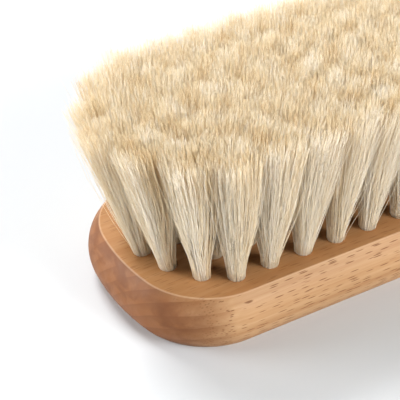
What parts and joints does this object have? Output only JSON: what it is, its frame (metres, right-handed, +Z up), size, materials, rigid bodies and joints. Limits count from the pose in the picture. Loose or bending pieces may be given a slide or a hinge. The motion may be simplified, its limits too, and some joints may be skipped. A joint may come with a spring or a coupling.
{
  "type": "body dry brush",
  "caption": "Hand brush for dry body brushing: a rounded beech block with a bullnosed side, drilled with blind holes that hold flaring tufts of pale natural bristle, trimmed flat.",
  "frame": {"origin": "centre of the block's flat underside", "axes": "+X along the brush's length, +Y across it, +Z up from the underside through the bristles"},
  "size_m": [0.1308, 0.058, 0.0535],
  "materials": {
    "beech": "fine sanded, lightly oiled",
    "bristle": "pale natural hair bristle, undyed",
    "anchor_wire": "plain flat wire"
  },
  "bodies": {
    "root": {"block": "beech", "anchors": "anchor_wire", "tuft_row1_01": "bristle", "tuft_row1_02": "bristle", "tuft_row1_03": "bristle", "tuft_row1_04": "bristle", "tuft_row1_05": "bristle", "tuft_row1_06": "bristle", "tuft_row1_07": "bristle", "tuft_row1_08": "bristle", "tuft_row1_09": "bristle", "tuft_row1_10": "bristle", "tuft_row1_11": "bristle", "tuft_row2_01": "bristle", "tuft_row2_02": "bristle", "tuft_row2_03": "bristle", "tuft_row2_04": "bristle", "tuft_row2_05": "bristle", "tuft_row2_06": "bristle", "tuft_row2_07": "bristle", "tuft_row2_08": "bristle", "tuft_row2_09": "bristle", "tuft_row2_10": "bristle", "tuft_row2_11": "bristle", "tuft_row3_01": "bristle", "tuft_row3_02": "bristle", "tuft_row3_03": "bristle", "tuft_row3_04": "bristle", "tuft_row3_05": "bristle", "tuft_row3_06": "bristle", "tuft_row3_07": "bristle", "tuft_row3_08": "bristle", "tuft_row3_09": "bristle", "tuft_row3_10": "bristle", "tuft_row3_11": "bristle", "tuft_row3_12": "bristle", "tuft_row4_01": "bristle", "tuft_row4_02": "bristle", "tuft_row4_03": "bristle", "tuft_row4_04": "bristle", "tuft_row4_05": "bristle", "tuft_row4_06": "bristle", "tuft_row4_07": "bristle", "tuft_row4_08": "bristle", "tuft_row4_09": "bristle", "tuft_row4_10": "bristle", "tuft_row4_11": "bristle", "tuft_row5_01": "bristle", "tuft_row5_02": "bristle", "tuft_row5_03": "bristle", "tuft_row5_04": "bristle", "tuft_row5_05": "bristle", "tuft_row5_06": "bristle", "tuft_row5_07": "bristle", "tuft_row5_08": "bristle", "tuft_row5_09": "bristle", "tuft_row5_10": "bristle", "tuft_row5_11": "bristle"}
  },
  "joints": []
}
